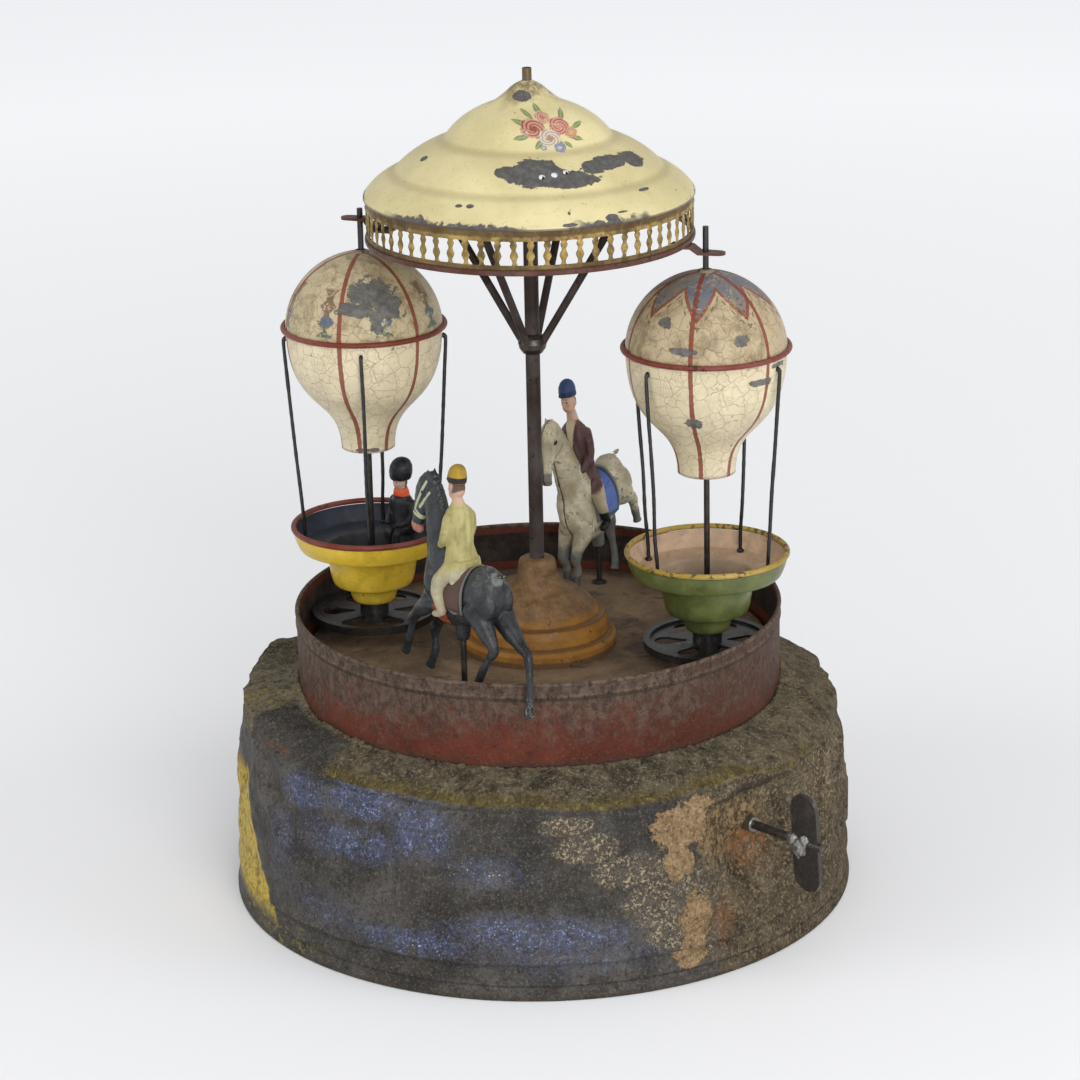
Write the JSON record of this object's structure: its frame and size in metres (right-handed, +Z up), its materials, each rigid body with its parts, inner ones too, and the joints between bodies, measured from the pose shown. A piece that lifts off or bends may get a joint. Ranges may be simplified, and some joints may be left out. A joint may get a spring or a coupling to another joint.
{
  "type": "tin musical carousel",
  "caption": "Tin toy carousel on a rock base with a winding key, turntable, riders on horses, balloons with gondolas and a stepped canopy.",
  "frame": {"origin": "centre of the round underside, on the ground", "axes": "+Z up along the column, -Y towards the front, +X to the right seen from the front"},
  "size_m": [0.259, 0.259, 0.3424],
  "materials": {
    "base_tin": "matt, gritty",
    "drum_red": "worn semi-gloss",
    "floor_tan": "dusty matt",
    "steel": "dull, oxidised",
    "brass": "dull",
    "ochre": "satin",
    "maroon": "worn satin",
    "canopy_cream": "aged gloss, chipped",
    "gallery_gold": "worn gold paint",
    "balloon_cream": "crackled gloss",
    "gondola_yellow": "worn satin",
    "gondola_green": "worn satin",
    "figure_black": "worn satin",
    "figure_white": "worn satin",
    "cloth_brown": "satin",
    "cloth_blue": "satin",
    "dress_yellow": "satin",
    "dress_maroon": "satin",
    "dress_black": "satin"
  },
  "bodies": {
    "base": {"foot_hem": "base_tin", "bottom_plate": "base_tin", "rock_shell": "base_tin", "drum_wall": "drum_red", "deck_plate": "base_tin", "spindle_bearing": "brass", "bearing_bridge": "steel", "crank_frame": "steel", "crank_bush": "steel", "comb_bracket": "steel", "music_comb": "steel", "comb_screws": "brass"},
    "crank": {"crank_shaft": "steel", "wing_key": "steel", "key_solder": "steel", "drive_pinion": "brass", "pin_barrel": "brass"},
    "rotor": {"spindle": "steel", "spindle_collar": "steel", "crown_wheel": "brass", "turntable": "floor_tan", "pedestal": "ochre", "column": "maroon", "strut_solder": "steel", "canopy_struts": "maroon", "canopy_dome": "canopy_cream", "finial_stub": "steel", "gallery_band": "gallery_gold", "gallery_ring": "maroon", "arm_left": "maroon", "arm_right": "maroon", "pivot_cups": "steel", "pin_sockets": "steel"},
    "left_balloon": {"rod_left": "steel", "balloon_left_top": "balloon_cream", "balloon_left_bottom": "balloon_cream", "balloon_left_bead": "maroon", "wires_left": "steel", "gondola_left": "gondola_yellow", "gondola_left_rim": "maroon", "wheel_left": "steel", "passenger": "dress_black"},
    "right_balloon": {"rod_right": "steel", "balloon_right_top": "balloon_cream", "balloon_right_bottom": "balloon_cream", "balloon_right_bead": "maroon", "wires_right": "steel", "gondola_right": "gondola_green", "gondola_right_rim": "gondola_yellow", "wheel_right": "steel"},
    "black_horse": {"pin_black": "steel", "horse_black": "figure_black", "saddle_black": "cloth_brown", "rider_black": "dress_yellow"},
    "white_horse": {"pin_white": "steel", "horse_white": "figure_white", "saddle_white": "cloth_blue", "rider_white": "dress_maroon"}
  },
  "joints": [
    {"name": "rotor_spin", "type": "hinge", "parent": "base", "child": "rotor", "pos_m": [0, 0, 0.1013], "axis": [0, 0, 1], "continuous": true},
    {"name": "crank_turn", "type": "hinge", "parent": "base", "child": "crank", "pos_m": [0, 0, 0.054], "axis": [0.7009, -0.7133, 0], "continuous": true},
    {"name": "balloon_left_spin", "type": "hinge", "parent": "rotor", "child": "left_balloon", "pos_m": [-0.06895, 0.0224, 0.1013], "axis": [0, 0, 1], "continuous": true},
    {"name": "balloon_right_spin", "type": "hinge", "parent": "rotor", "child": "right_balloon", "pos_m": [0.06895, -0.0224, 0.1013], "axis": [0, 0, 1], "continuous": true},
    {"name": "horse_black_lift", "type": "slide", "parent": "rotor", "child": "black_horse", "axis": [0, 0, 1], "range_m": [-0.004, 0]},
    {"name": "horse_white_lift", "type": "slide", "parent": "rotor", "child": "white_horse", "axis": [0, 0, 1], "range_m": [0, 0.012]}
  ],
  "couplings": [
    {"joint": "crank_turn", "follows": "rotor_spin", "ratio": -4},
    {"joint": "balloon_left_spin", "follows": "rotor_spin", "ratio": -3.7786},
    {"joint": "balloon_right_spin", "follows": "rotor_spin", "ratio": -3.7786}
  ]
}
